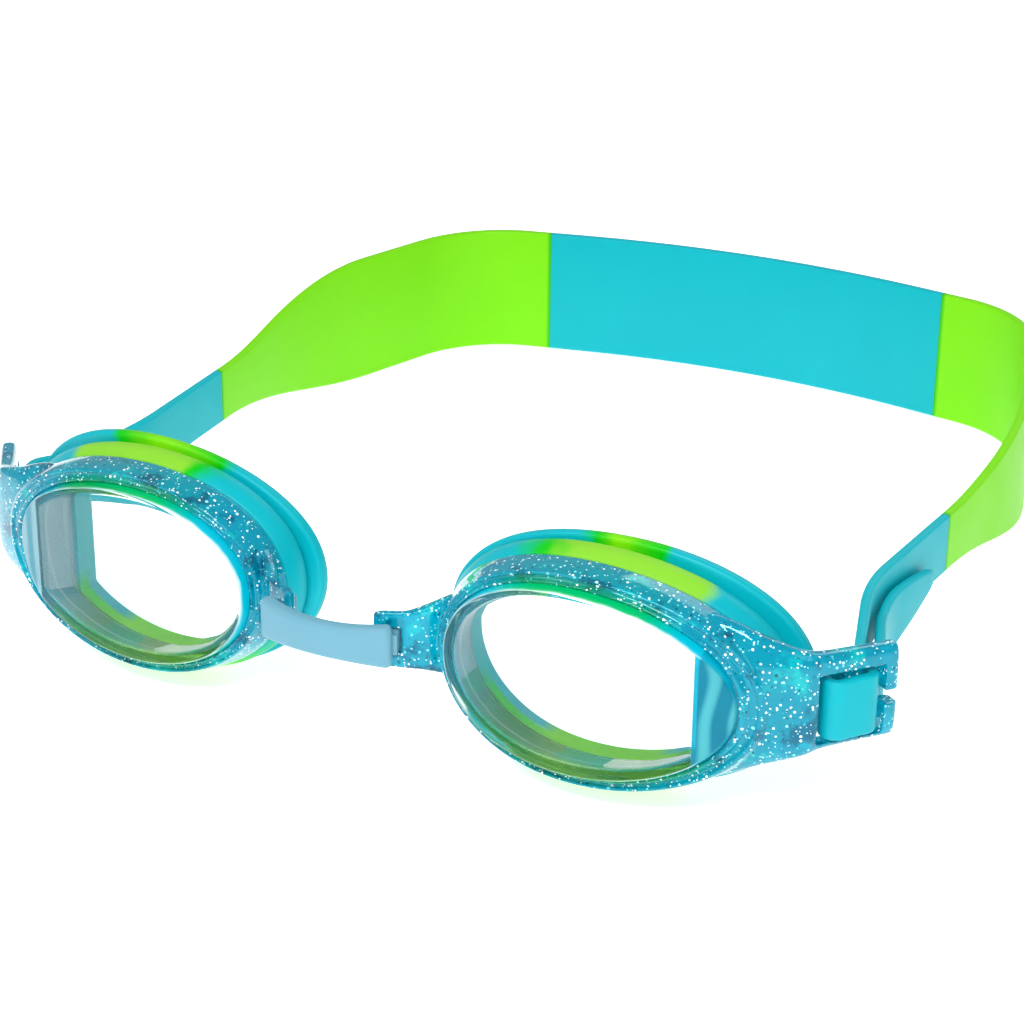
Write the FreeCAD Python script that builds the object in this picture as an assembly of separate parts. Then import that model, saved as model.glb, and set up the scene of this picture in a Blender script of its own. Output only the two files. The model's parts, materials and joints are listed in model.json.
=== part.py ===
import FreeCAD, Part
import math
import os

# Child's swim goggles, millimetres and degrees. The pair is built upright, with X across the
# face (positive to the side of the parts named _right here), -Y to the front and Z up. The middle
# of the nose bridge is near the origin. It is then leaned back until it stands on its face seals
# and on the strap's rear edge, the way it rests on a table.

# Cup: one eyepiece, drawn in its own frame (u across, depth back, v up)
CUP_CENTRE = FreeCAD.Vector(38.2, 1.7, -0.5)
CUP_SPLAY = 2.2            # temple side turned back
WRAP_RADIUS = 112.0        # base curve of lens, frame and seal
EGG_POWER = 2.06           # 2 is an ellipse, more is squarer
EGG_POINTS = 28
WRAP_ROOM = 6.0            # how much further back the wrap carries the ends of an outline

# Outlines as half width, half height, shift towards the temple, and how much higher the temple
# end is than the middle (less than 0 is lower)
LENS_FACE = (21.4, 13.3, 0.0, -0.08)
LENS_REAR = (22.9, 14.9, 0.6, -0.08)
LENS_DEPTH = 8.6
LENS_WALL = 1.3
LENS_PANE = 1.6
TEMPLE_WALL = 16.3         # the cavity ends at a flat upright wall on the temple side
FACET_SLOPE = 0.345        # the pane turns back from there in a small facet

FRAME_FACE = (24.6, 15.8, 1.2, -0.08)
FRAME_REAR = (25.4, 16.2, 0.8, -0.08)
FRAME_START, FRAME_END = 1.9, 6.4

SEAL_TIER = (25.9, 17.0, 0.8, -0.06)
SEAL_GROOVE = (24.3, 15.3, 0.6, -0.04)
SEAL_FLANGE = (27.6, 17.9, 0.8, 0.01)
TIER_END, GROOVE_END, FLANGE_END = 9.8, 11.2, 13.2
EYE_FRONT = (22.0, 14.0, 0.4, -0.08)
EYE_REAR = (21.2, 13.6, 0.2, -0.08)
EYE_TEMPLE = 15.6          # the seal's opening is straight on the temple side too

# Buckle at the temple, drawn in a frame at its strap bar (along the plate, out of its face, up)
BAR_CENTRE = FreeCAD.Vector(71.1, 16.9, 0.0)
PLATE_ANGLE = 52.0
PLATE_HALF_THICK = 1.5
PLATE_LOW, PLATE_HIGH = -6.3, 7.2
PLATE_END = 6.6
BAR_HALF_WIDTH = 1.4
BAR_FRONT, BAR_BACK = 0.7, -1.0
SLOT_LOW, SLOT_HIGH = -5.5, 4.6
FRONT_SLOT = (-4.5, -BAR_HALF_WIDTH)
REAR_SLOT = (BAR_HALF_WIDTH, 4.5)
BAR_CLEARANCE = 0.25
STRAP_IN_SLOT = 2.95       # how far from the bar the band passes through each slot
FORK_GAP = (-1.3, 0.5)     # height of the opening between the two prongs
FAIRING_HALF_HEIGHT = 15.0
TEMPLE_ROOT = 50.0

# Nose lug on each frame, and the bridge hooked into both
NOSE_PIVOT = FreeCAD.Vector(9.4, 2.3, 0.0)
LUG_ANGLE = 22.0
LUG_HALF_THICK = 0.65
LUG_HALF_HEIGHT = 4.2
LUG_WINDOW = (-1.9, 1.15)
LUG_WINDOW_HALF_HEIGHT = 1.9
LUG_INNER_END = -2.8
STUD_HALF_WIDTH, STUD_HALF_HEIGHT = 0.8, 1.5
HEAD_HALF_WIDTH, HEAD_HALF_HEIGHT = 1.4, 2.4
HEAD_GAP, HEAD_THICK = 0.35, 0.9
STUD_FRONT = 2.4           # the stud ends inside the band
BRIDGE_HALF_SPAN = 10.5
BRIDGE_RISE = 2.4
BRIDGE_THICK = 2.4
BRIDGE_MID_HALF_HEIGHT, BRIDGE_END_HALF_HEIGHT = 2.6, 3.25

# Strap: one band, bonded from five lengths
STRAP_THICK = 1.5
END_HALF_HEIGHT = 4.7
LOOP_HALF_HEIGHT = 4.3     # a little narrower and lower where it passes the buckle
LOOP_DROP = 0.5
LOOP_END_Y, FULL_END_Y = 24.0, 46.0
BACK_HALF_HEIGHT = 11.5
STRAP_SLOPE = 3.4          # the band rises towards the back of the head
END_SEAM_Y = 66.5
BACK_SEAM_X = 39.3
WIDEN_START_Y, WIDEN_END_Y = 69.0, 112.0
SEAM_GAP = 0.1
TAIL_TAPER_Y, TAIL_TIP_Y = 44.0, 58.5
TAIL_TIP_HALF_HEIGHT = 1.0
TAIL_DROOP = 1.4           # the free tail droops below the band, then rises to its tip
TAIL_LOW_Y = 40.0
TAIL_RISE = 9.6

REACH = 200.0              # longer than anything here, for cutting tools
LEAN = 6.7                 # the finished pair leans back by this much

os.makedirs("parts", exist_ok=True)


def vec(x, y, z):
    return FreeCAD.Vector(x, y, z)


def egg_wire(outline, depth):
    """Closed egg-shaped wire in the cup's frame, in the plane at this depth."""
    half_width, half_height, shift, temple_height = outline
    points = []
    for i in range(EGG_POINTS):
        angle = 2 * math.pi * (i + 0.5) / EGG_POINTS
        c, s = math.cos(angle), math.sin(angle)
        across = math.copysign(abs(c) ** (2 / EGG_POWER), c)
        up = math.copysign(abs(s) ** (2 / EGG_POWER), s) * (1 + temple_height * c)
        points.append(vec(shift + half_width * across, depth, half_height * up))
    curve = Part.BSplineCurve()
    curve.interpolate(points, PeriodicFlag=True)
    return Part.Wire(curve.toShape())


def egg_loft(front, front_depth, rear, rear_depth):
    return Part.makeLoft([egg_wire(front, front_depth), egg_wire(rear, rear_depth)], True, True)


def wrap_cylinder(depth):
    """Upright cylinder whose front lies at this depth on the cup's middle line."""
    base = vec(0, depth + WRAP_RADIUS, -REACH / 2)
    return Part.makeCylinder(WRAP_RADIUS, REACH, base, vec(0, 0, 1))


def wrapped(front, rear, start, end, low=None, high=None):
    """Slab between two wrapped faces; its outline is front at start and rear at end.

    It is cut at start and end, or at low and high where those are given."""
    low = start if low is None else low
    high = end if high is None else high
    deepest = high + WRAP_ROOM
    outlines = []
    for depth in (low, deepest):
        share = (depth - start) / (end - start)
        outlines.append([f + share * (r - f) for f, r in zip(front, rear)])
    body = egg_loft(outlines[0], low, outlines[1], deepest)
    return body.common(wrap_cylinder(low)).cut(wrap_cylinder(high))


def place_cup(shape):
    """Move a shape from the cup's frame to the right-hand cup."""
    placed = shape.copy()
    placed.rotate(vec(0, 0, 0), vec(0, 0, 1), CUP_SPLAY)
    placed.translate(CUP_CENTRE)
    return placed


def lens_plug():
    """Solid of the lens's outside; its walls flare to the rear."""
    return wrapped(LENS_FACE, LENS_REAR, 0.0, LENS_DEPTH)


def nose_side(limit):
    """Everything in the cup's frame up to this distance towards the temple."""
    return Part.makeBox(REACH + limit, REACH, REACH, vec(-REACH, -REACH / 2, -REACH / 2))


def lens():
    inner_face = (LENS_FACE[0] - LENS_WALL, LENS_FACE[1] - LENS_WALL) + LENS_FACE[2:]
    inner_rear = (LENS_REAR[0] - LENS_WALL, LENS_REAR[1] - LENS_WALL) + LENS_REAR[2:]
    hollow = wrapped(inner_face, inner_rear, 0.0, LENS_DEPTH, LENS_PANE, LENS_DEPTH + 2.0)
    hollow = hollow.common(nose_side(TEMPLE_WALL))
    return place_cup(lens_plug().cut(hollow).cut(facet_tool()))


def plan_face(points):
    """Flat outline in the XY plane, closed with straight sides."""
    wire = Part.makePolygon([vec(x, y, 0) for x, y in points + points[:1]])
    return Part.Face(wire)


def facet_tool():
    """What the temple facet takes off the front of the pane, in the cup's frame."""
    crease_depth = WRAP_RADIUS - math.sqrt(WRAP_RADIUS ** 2 - TEMPLE_WALL ** 2)
    end = LENS_REAR[0] + 2
    end_depth = crease_depth + FACET_SLOPE * (end - TEMPLE_WALL)
    outline = [(TEMPLE_WALL, crease_depth), (end, end_depth), (end, -5.0), (TEMPLE_WALL, -5.0)]
    return upright_prism(outline, -REACH / 2, REACH / 2)


def upright_prism(points, low, high):
    prism = plan_face(points).extrude(vec(0, 0, high - low))
    prism.translate(vec(0, 0, low))
    return prism


def side_prism(points):
    """Prism along Y from an outline given as x, z."""
    wire = Part.makePolygon([vec(x, -REACH / 2, z) for x, z in points + points[:1]])
    return Part.Face(wire).extrude(vec(0, REACH, 0))


def at_buckle(along, out):
    """Plan point given in the buckle's frame."""
    angle = math.radians(PLATE_ANGLE)
    x = BAR_CENTRE.x + along * math.cos(angle) + out * math.sin(angle)
    y = BAR_CENTRE.y + along * math.sin(angle) - out * math.cos(angle)
    return (x, y)


def buckle_block(along, out, low, high):
    corners = [(along[0], out[0]), (along[1], out[0]), (along[1], out[1]), (along[0], out[1])]
    return upright_prism([at_buckle(*corner) for corner in corners], low, high)


def temple_plate():
    """Fairing that runs from the ring's temple side back to the buckle, before its slots."""
    face = PLATE_HALF_THICK
    outer = [(TEMPLE_ROOT, 4.9), (57.0, 6.0), (62.5, 7.5), at_buckle(-7.0, face), at_buckle(PLATE_END, face)]
    inner = [at_buckle(PLATE_END, -face), at_buckle(-6.5, -face), (61.5, 11.5), (TEMPLE_ROOT, 9.5)]
    plate = upright_prism(outer + inner, -FAIRING_HALF_HEIGHT, FAIRING_HALF_HEIGHT)
    top = [(TEMPLE_ROOT - 1, 10.5), (54.5, 12.2), (60.0, 9.9), (66.0, 8.0), (80.0, PLATE_HIGH)]
    bottom = [(80.0, PLATE_LOW), (66.0, -7.2), (60.0, -9.7), (54.5, -12.2), (TEMPLE_ROOT - 1, -10.5)]
    return plate.common(side_prism(top + bottom))


def cut_buckle(plate):
    through = (-PLATE_HALF_THICK - 1, PLATE_HALF_THICK + 1)
    for slot in (FRONT_SLOT, REAR_SLOT):
        plate = plate.cut(buckle_block(slot, through, SLOT_LOW, SLOT_HIGH))
    for out in ((BAR_FRONT, PLATE_HALF_THICK + 1), (-PLATE_HALF_THICK - 1, BAR_BACK)):
        span = (-BAR_HALF_WIDTH - 0.1, BAR_HALF_WIDTH + 0.1)
        plate = plate.cut(buckle_block(span, out, SLOT_LOW, SLOT_HIGH))
    return plate.cut(buckle_block((REAR_SLOT[1] - 0.1, PLATE_END + 1), through, *FORK_GAP))


def at_nose(along, out):
    """Plan point given in the nose lug's frame (along the lug, out of its front)."""
    angle = math.radians(LUG_ANGLE)
    x = NOSE_PIVOT.x + along * math.cos(angle) + out * math.sin(angle)
    y = NOSE_PIVOT.y + along * math.sin(angle) - out * math.cos(angle)
    return (x, y)


def nose_block(along, out, half_height):
    corners = [(along[0], out[0]), (along[1], out[0]), (along[1], out[1]), (along[0], out[1])]
    return upright_prism([at_nose(*corner) for corner in corners], -half_height, half_height)


def nose_lug():
    half = LUG_HALF_THICK
    front = [at_nose(LUG_INNER_END, half), at_nose(2.1, half), (15.3, 6.2)]
    rear = [(15.3, 9.4), (13.2, 8.0), at_nose(1.75, -half), at_nose(LUG_INNER_END, -half)]
    lug = upright_prism(front + rear, -8.0, 8.0)
    top = [(6.0, 3.9), (8.0, LUG_HALF_HEIGHT), (11.5, 4.3), (13.4, 5.4), (15.4, 8.0)]
    bottom = [(x, -z) for x, z in reversed(top)]
    lug = lug.common(side_prism(top + bottom))
    window = nose_block(LUG_WINDOW, (-half - 1, half + 1), LUG_WINDOW_HALF_HEIGHT)
    return lug.cut(window)


def frame():
    ring = place_cup(wrapped(FRAME_FACE, FRAME_REAR, FRAME_START, FRAME_END))
    behind_seal = place_cup(wrapped(SEAL_FLANGE, SEAL_FLANGE, FRAME_END, FLANGE_END))
    body = ring.fuse([cut_buckle(temple_plate()).cut(behind_seal), nose_lug().cut(behind_seal)])
    return body.cut(place_cup(lens_plug())).removeSplitter()


def gasket():
    tier = wrapped(FRAME_REAR, SEAL_TIER, FRAME_END, TIER_END)
    groove = wrapped(SEAL_GROOVE, SEAL_GROOVE, TIER_END - 0.5, GROOVE_END + 0.5)
    flange = wrapped(SEAL_FLANGE, SEAL_FLANGE, GROOVE_END, FLANGE_END)
    eye = egg_loft(EYE_FRONT, LENS_DEPTH - 6.0, EYE_REAR, FLANGE_END + 10.0).common(nose_side(EYE_TEMPLE))
    body = tier.fuse([groove, flange]).cut(eye)
    return place_cup(body.cut(lens_plug())).removeSplitter()


def bridge_half_height(x):
    share = (abs(x) / BRIDGE_HALF_SPAN) ** 2
    return BRIDGE_MID_HALF_HEIGHT + share * (BRIDGE_END_HALF_HEIGHT - BRIDGE_MID_HALF_HEIGHT)


def bridge_stud():
    """Stud through the lug's window, with a taller head behind the lug."""
    head_front = -LUG_HALF_THICK - HEAD_GAP
    head_rear = head_front - HEAD_THICK
    stud = nose_block((-STUD_HALF_WIDTH, STUD_HALF_WIDTH), (head_rear, STUD_FRONT), STUD_HALF_HEIGHT)
    head = nose_block((-HEAD_HALF_WIDTH, HEAD_HALF_WIDTH), (head_rear, head_front), HEAD_HALF_HEIGHT)
    return stud.fuse(head)


def nose_bridge():
    """Arched band across the nose, deeper at its ends."""
    radius = (BRIDGE_HALF_SPAN ** 2 + BRIDGE_RISE ** 2) / (2 * BRIDGE_RISE)
    centre = vec(0, radius - BRIDGE_RISE, -REACH / 2)
    outer = Part.makeCylinder(radius + BRIDGE_THICK / 2, REACH, centre, vec(0, 0, 1))
    inner = Part.makeCylinder(radius - BRIDGE_THICK / 2, REACH, centre, vec(0, 0, 1))
    steps = 12
    top = []
    for i in range(steps + 1):
        x = BRIDGE_HALF_SPAN * (2 * i / steps - 1)
        top.append((x, bridge_half_height(x)))
    bottom = [(x, -z) for x, z in reversed(top)]
    front_half = Part.makeBox(REACH, radius, REACH, vec(-REACH / 2, -BRIDGE_RISE - BRIDGE_THICK, -REACH / 2))
    band = outer.cut(inner).common(front_half).common(side_prism(top + bottom))
    stud = bridge_stud()
    return band.fuse([stud, mirrored(stud)]).removeSplitter()


def rounded_path(corners, radii):
    """Wire of straight runs with a tangent arc of the given radius at each inner corner."""
    points = [vec(x, y, 0) for x, y in corners]
    edges = []
    start = points[0]
    for before, corner, after, radius in zip(points, points[1:], points[2:], radii):
        towards = (before - corner).normalize()
        onwards = (after - corner).normalize()
        opening = towards.getAngle(onwards)
        setback = radius / math.tan(opening / 2)
        bisector = (towards + onwards).normalize()
        arc_start = corner + towards * setback
        arc_end = corner + onwards * setback
        middle = corner + bisector * (radius / math.sin(opening / 2) - radius)
        edges.append(Part.LineSegment(start, arc_start).toShape())
        edges.append(Part.Arc(arc_start, middle, arc_end).toShape())
        start = arc_end
    edges.append(Part.LineSegment(start, points[-1]).toShape())
    return Part.Wire(edges)


def ribbon(path, half_height):
    """Upright band of the strap's thickness along a flat path."""
    first = path.Edges[0]
    origin = first.valueAt(first.FirstParameter)
    forward = first.tangentAt(first.FirstParameter)
    side = vec(-forward.y, forward.x, 0) * (STRAP_THICK / 2)
    up = vec(0, 0, half_height)
    ring = [origin + side + up, origin - side + up, origin - side - up, origin + side - up]
    profile = Part.makePolygon(ring + ring[:1])
    sweep = Part.BRepOffsetAPI.MakePipeShell(path)
    sweep.setBiNormalMode(vec(0, 0, 1))
    sweep.add(profile)
    sweep.build()
    sweep.makeSolid()
    return Part.Solid(sweep.shape())


def smooth_share(y, start, end):
    """Rises smoothly from 0 at start to 1 at end."""
    share = min(max((y - start) / (end - start), 0), 1)
    return share * share * (3 - 2 * share)


def strap_half_height(y):
    """Half height of the band at a distance behind the nose."""
    half_height = LOOP_HALF_HEIGHT
    half_height += smooth_share(y, LOOP_END_Y, FULL_END_Y) * (END_HALF_HEIGHT - LOOP_HALF_HEIGHT)
    half_height += smooth_share(y, WIDEN_START_Y, WIDEN_END_Y) * (BACK_HALF_HEIGHT - END_HALF_HEIGHT)
    return half_height


def strap_middle(y):
    """Height of the band's middle line, which drops a little towards the buckle."""
    rise = math.tan(math.radians(STRAP_SLOPE)) * (y - BAR_CENTRE.y)
    return rise - LOOP_DROP * (1 - smooth_share(y, LOOP_END_Y, FULL_END_Y))


def evenly(start, end, steps):
    return [start + (end - start) * i / steps for i in range(steps + 1)]


def silhouette(half_height, middle):
    """Side view of a band, as a solid prism along X, with this half height and middle along it."""
    stations = [-40.0] + evenly(LOOP_END_Y, TAIL_TIP_Y, 14)
    stations += evenly(WIDEN_START_Y, WIDEN_END_Y, 9) + [180.0]
    top = [vec(-REACH / 2, y, middle(y) + half_height(y)) for y in stations]
    bottom = [vec(-REACH / 2, y, middle(y) - half_height(y)) for y in reversed(stations)]
    outline = Part.makePolygon(top + bottom + top[:1])
    return Part.Face(outline).extrude(vec(REACH, 0, 0))


def tail_half_height(y):
    """The free tail narrows to a blunt leaf-shaped tip."""
    share = min(max((y - TAIL_TAPER_Y) / (TAIL_TIP_Y - TAIL_TAPER_Y), 0), 1)
    return LOOP_HALF_HEIGHT - share ** 1.6 * (LOOP_HALF_HEIGHT - TAIL_TIP_HALF_HEIGHT)


def tail_middle(y):
    drop = LOOP_DROP + TAIL_DROOP * smooth_share(y, LOOP_END_Y, TAIL_LOW_Y)
    return math.tan(math.radians(TAIL_RISE)) * max(y - TAIL_LOW_Y, 0.0) - drop


# Plan of the band's middle line on the right, from the seam at the back round to the buckle
BACK_MIDDLE = (0.0, 147.3)
REAR_CORNER = (56.0, 136.6)
SIDE_CORNER = (68.8, 98.0)
WAIST_CORNER = (64.0, 41.0)
BUCKLE_CORNER = (70.0, 22.0)
LOOP_JOIN_Y = 32.0
# and of the free tail, outside it
TAIL_CORNER = (72.2, 24.6)
TAIL_WAIST = (66.0, 41.5)
TAIL_END = (67.6, 60.0)


def main_path():
    """Band from one buckle round the head to the other."""
    right = [BUCKLE_CORNER, WAIST_CORNER, SIDE_CORNER, REAR_CORNER]
    left = [(-x, y) for x, y in reversed(right)]
    return rounded_path(right + [BACK_MIDDLE] + left, [30.0, 70.0, 21.0, 180.0, 21.0, 70.0, 30.0])


def loop_path():
    """From the waist, out through the front slot, over the bar and back in through the rear slot."""
    over = BAR_FRONT + BAR_CLEARANCE + STRAP_THICK / 2
    corners = [WAIST_CORNER, BUCKLE_CORNER, at_buckle(-STRAP_IN_SLOT, -2.6), at_buckle(-STRAP_IN_SLOT, over)]
    corners += [at_buckle(STRAP_IN_SLOT, over), at_buckle(STRAP_IN_SLOT, -2.4), TAIL_CORNER]
    return rounded_path(corners, [7.0, 2.2, 1.4, 1.4, 2.0])


def tail_path():
    """Carries on from the last straight run of the loop."""
    before = at_buckle(STRAP_IN_SLOT, -2.4)
    start = ((before[0] + TAIL_CORNER[0]) / 2, (before[1] + TAIL_CORNER[1]) / 2)
    return rounded_path([start, TAIL_CORNER, TAIL_WAIST, TAIL_END], [3.0, 26.0])


def slab(y_low, y_high):
    return Part.makeBox(REACH, y_high - y_low, REACH, vec(-REACH / 2, y_low, -REACH / 2))


def strap_end():
    half = END_HALF_HEIGHT * 3
    main = ribbon(main_path(), half).common(slab(LOOP_JOIN_Y, END_SEAM_Y))
    loop = ribbon(loop_path(), half).common(slab(-REACH / 2, LOOP_JOIN_Y))
    tail = ribbon(tail_path(), half).common(silhouette(tail_half_height, tail_middle))
    tail = tail.common(slab(0.0, TAIL_TIP_Y))
    right_half = Part.makeBox(REACH / 2, REACH, REACH, vec(1, -REACH / 4, -REACH / 2))
    band = main.common(right_half).fuse(loop).common(silhouette(strap_half_height, strap_middle))
    return band.fuse(tail).removeSplitter()


def strap_side():
    band = ribbon(main_path(), BACK_HALF_HEIGHT * 3).common(silhouette(strap_half_height, strap_middle))
    side = Part.makeBox(REACH, REACH, REACH, vec(BACK_SEAM_X + SEAM_GAP, END_SEAM_Y, -REACH / 2))
    return band.common(side)


def strap_back_panel():
    band = ribbon(main_path(), BACK_HALF_HEIGHT * 3).common(silhouette(strap_half_height, strap_middle))
    middle = Part.makeBox(2 * BACK_SEAM_X, REACH, REACH, vec(-BACK_SEAM_X, END_SEAM_Y, -REACH / 2))
    return band.common(middle)


def mirrored(shape):
    return shape.mirror(vec(0, 0, 0), vec(1, 0, 0))


def build():
    """Every piece in the upright frame, by node name."""
    pieces = {"nose_bridge": nose_bridge(), "strap_back_panel": strap_back_panel()}
    sided = [("lens", lens()), ("frame", frame()), ("gasket", gasket())]
    sided += [("strap_end", strap_end()), ("strap_side", strap_side())]
    for name, shape in sided:
        pieces[name + "_right"] = shape
        pieces[name + "_left"] = mirrored(shape)
    return pieces


def rest_move(pieces):
    """Lean and shift that stand the pair on its lowest points, centred over the origin."""
    leaned = []
    for shape in pieces.values():
        shape = shape.copy()
        shape.rotate(vec(0, 0, 0), vec(1, 0, 0), -LEAN)
        leaned.append(shape)
    box = Part.makeCompound(leaned).optimalBoundingBox(False, False)
    return vec(-box.Center.x, -box.Center.y, -box.ZMin)


def main():
    pieces = build()
    shift = rest_move(pieces)
    print("shift", [round(v, 3) for v in shift])
    for name, shape in sorted(pieces.items()):
        shape.rotate(vec(0, 0, 0), vec(1, 0, 0), -LEAN)
        shape.translate(shift)
        print(name, shape.ShapeType, len(shape.Solids), shape.isValid(), round(shape.Volume, 1))
        shape.exportStep("parts/" + name + ".step")


main()
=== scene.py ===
import json
import math

import bmesh
import bpy
from mathutils import Matrix, Vector


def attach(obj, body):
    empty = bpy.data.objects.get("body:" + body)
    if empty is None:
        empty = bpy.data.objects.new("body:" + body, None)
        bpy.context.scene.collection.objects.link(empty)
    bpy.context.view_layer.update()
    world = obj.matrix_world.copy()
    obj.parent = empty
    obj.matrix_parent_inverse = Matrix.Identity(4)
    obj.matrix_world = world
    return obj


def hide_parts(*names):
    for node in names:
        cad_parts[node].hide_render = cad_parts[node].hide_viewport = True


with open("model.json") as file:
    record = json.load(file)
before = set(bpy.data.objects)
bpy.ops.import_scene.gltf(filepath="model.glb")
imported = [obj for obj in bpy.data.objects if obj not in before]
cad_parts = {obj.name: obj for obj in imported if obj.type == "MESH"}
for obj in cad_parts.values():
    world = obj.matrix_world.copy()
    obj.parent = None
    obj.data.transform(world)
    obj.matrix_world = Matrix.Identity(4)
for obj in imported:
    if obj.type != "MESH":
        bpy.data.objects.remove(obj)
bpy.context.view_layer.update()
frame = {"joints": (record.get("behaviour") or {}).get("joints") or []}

# The pieces are drawn upright in millimetres, X across the face, -Y to the front and Z up, on the
# same dimensions as the CAD. rest_place() then leans the pair back and puts it in the part's own frame.
MM = 0.001

# Cup, in its own frame: across, depth back, up. Outlines are half width, half height, shift
CUP_CENTRE = Vector((38.2, 1.7, -0.5))
CUP_SPLAY = math.radians(2.2)
WRAP_RADIUS = 112.0
EGG_NARROWING = -0.08
EGG_POWER = 2.06
LENS_FACE = (21.4, 13.3, 0.0)
LENS_REAR = (22.9, 14.9, 0.6)
LENS_DEPTH = 8.6
LENS_WALL = 1.3
LENS_PANE = 1.6
LENS_EDGE = 0.5       # how far the pane's rounded edge comes in
CAVITY_DEPTH = 9.5    # the tool for the cavity reaches out behind the lens
CREASE = 16.3         # the pane turns back here, and the cavity's flat wall stands behind it
FACET_FALL = 0.25
EYE_LIMIT = 15.6      # the seal's opening is cut straight at the temple
NO_LIMIT = 99.0
FRAME_FACE = (24.6, 15.8, 1.2)
FRAME_REAR = (25.4, 16.2, 0.8)

# Buckle and its frame (along the plate, out of its face)
BAR_CENTRE = Vector((71.1, 16.9, 0.0))
PLATE_ANGLE = math.radians(52.0)
PLATE_HALF_THICK = 1.5
SLOT_LOW, SLOT_HIGH = -5.5, 4.6
BAR_HALF_WIDTH = 1.4

# Nose lug and its frame
NOSE_PIVOT = Vector((9.4, 2.3, 0.0))
LUG_ANGLE = math.radians(22.0)
LUG_HALF_THICK = 0.65

# Nose bridge
BRIDGE_HALF_SPAN = 10.5
BRIDGE_RISE = 2.4
BRIDGE_THICK = 2.4
BRIDGE_MID_HALF_HEIGHT, BRIDGE_END_HALF_HEIGHT = 2.6, 3.25
BRIDGE_EDGE_RADIUS = 0.95
BRIDGE_END_RADIUS = 0.9
BRIDGE_STEPS = 56
CROWDING = 1.35       # the steps crowd towards the bridge's rounded ends

# Strap
STRAP_THICK = 1.5
STRAP_EDGE_RADIUS = 0.5
END_HALF_HEIGHT = 4.7
LOOP_HALF_HEIGHT = 4.3
LOOP_DROP = 0.5
LOOP_END_Y, FULL_END_Y = 24.0, 46.0
BACK_HALF_HEIGHT = 11.5
STRAP_SLOPE = math.radians(3.4)
END_SEAM_Y = 66.5
BACK_SEAM_X = 39.3
WIDEN_START_Y, WIDEN_END_Y = 69.0, 112.0
TAIL_TAPER_Y, TAIL_TIP_Y = 44.0, 58.5
TAIL_TIP_HALF_HEIGHT = 1.0
TAIL_DROOP, TAIL_LOW_Y = 1.4, 40.0
TAIL_RISE = math.radians(9.6)

AROUND = 224          # columns round a cup
PATH_STEP = 0.9       # rows along a strap
FRAME_VOXEL = 0.2


def joint(name):
    return next(j for j in frame["joints"] if j["name"] == name)


def rest_place():
    """From the upright frame in millimetres to the part's own frame in metres."""
    hinge = joint("cup_turn_right")
    lean = math.atan2(hinge["axis"][1], hinge["axis"][2])
    leaned = Matrix.Rotation(-lean, 4, "X") @ Matrix.Scale(MM, 4)
    shift = Vector(hinge["pos_m"]) - leaned @ BAR_CENTRE
    return Matrix.Translation(shift) @ leaned


REST = rest_place()


# ---------------------------------------------------------------- mesh helpers

def new_object(name, points, faces):
    mesh = bpy.data.meshes.new(name)
    mesh.from_pydata([tuple(p) for p in points], [], faces)
    mesh.validate()
    made = bpy.data.objects.new(name, mesh)
    bpy.context.scene.collection.objects.link(made)
    return made


def grid(name, rows, closed=False, capped=False):
    """Skin over rows of points. Each row is a ring; closed joins the last row to the first."""
    count = len(rows[0])
    points = [p for row in rows for p in row]
    faces = []
    for i in range(len(rows) if closed else len(rows) - 1):
        here, there = i * count, (i + 1) % len(rows) * count
        for k in range(count):
            onward = (k + 1) % count
            faces.append((here + k, here + onward, there + onward, there + k))
    if capped:
        faces.append(tuple(range(count))[::-1])
        faces.append(tuple(range((len(rows) - 1) * count, len(rows) * count)))
    return new_object(name, points, faces)


def outward(obj):
    """Turns every face outwards."""
    bm = bmesh.new()
    bm.from_mesh(obj.data)
    bmesh.ops.recalc_face_normals(bm, faces=bm.faces)
    bm.to_mesh(obj.data)
    bm.free()
    return obj


def smooth(obj, angle=40.0):
    obj.data.polygons.foreach_set("use_smooth", [True] * len(obj.data.polygons))
    obj.data.set_sharp_from_angle(angle=math.radians(angle))
    return obj


def apply_modifiers(obj):
    graph = bpy.context.evaluated_depsgraph_get()
    mesh = bpy.data.meshes.new_from_object(obj.evaluated_get(graph))
    obj.modifiers.clear()
    obj.data = mesh
    return obj


def cut_away(obj, tools):
    """Takes these bodies out of a piece."""
    for tool in tools:
        step = obj.modifiers.new("cut", "BOOLEAN")
        step.operation = "DIFFERENCE"
        step.solver = "EXACT"
        step.object = tool
    bpy.context.view_layer.update()
    apply_modifiers(obj)
    for tool in tools:
        bpy.data.objects.remove(tool)
    return obj


def joined(objects):
    """One object with all the meshes of these."""
    bm = bmesh.new()
    for part in objects:
        bm.from_mesh(part.data)
    bm.to_mesh(objects[0].data)
    bm.free()
    for part in objects[1:]:
        bpy.data.objects.remove(part)
    return objects[0]


def mirrored(obj, name):
    """The same piece on the left."""
    twin = bpy.data.objects.new(name, obj.data.copy())
    bpy.context.scene.collection.objects.link(twin)
    twin.data.transform(Matrix.Scale(-1, 4, (1, 0, 0)))
    twin.data.flip_normals()
    return twin


def finish_piece(obj, body, node, look):
    """Puts a piece drawn upright in its place, and hands it to the frame."""
    obj.data.transform(REST)
    obj.data.materials.clear()
    obj.data.materials.append(look)
    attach(obj, body)
    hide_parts(node)


def store(obj, name, values):
    """Number at each point, for the material."""
    layer = obj.data.attributes.new(name, "FLOAT", "POINT")
    layer.data.foreach_set("value", values)


def smoothstep(value, low, high):
    share = min(max((value - low) / (high - low), 0.0), 1.0)
    return share * share * (3 - 2 * share)


def mix_tuples(first, second, share):
    return tuple(a + share * (b - a) for a, b in zip(first, second))


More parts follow.
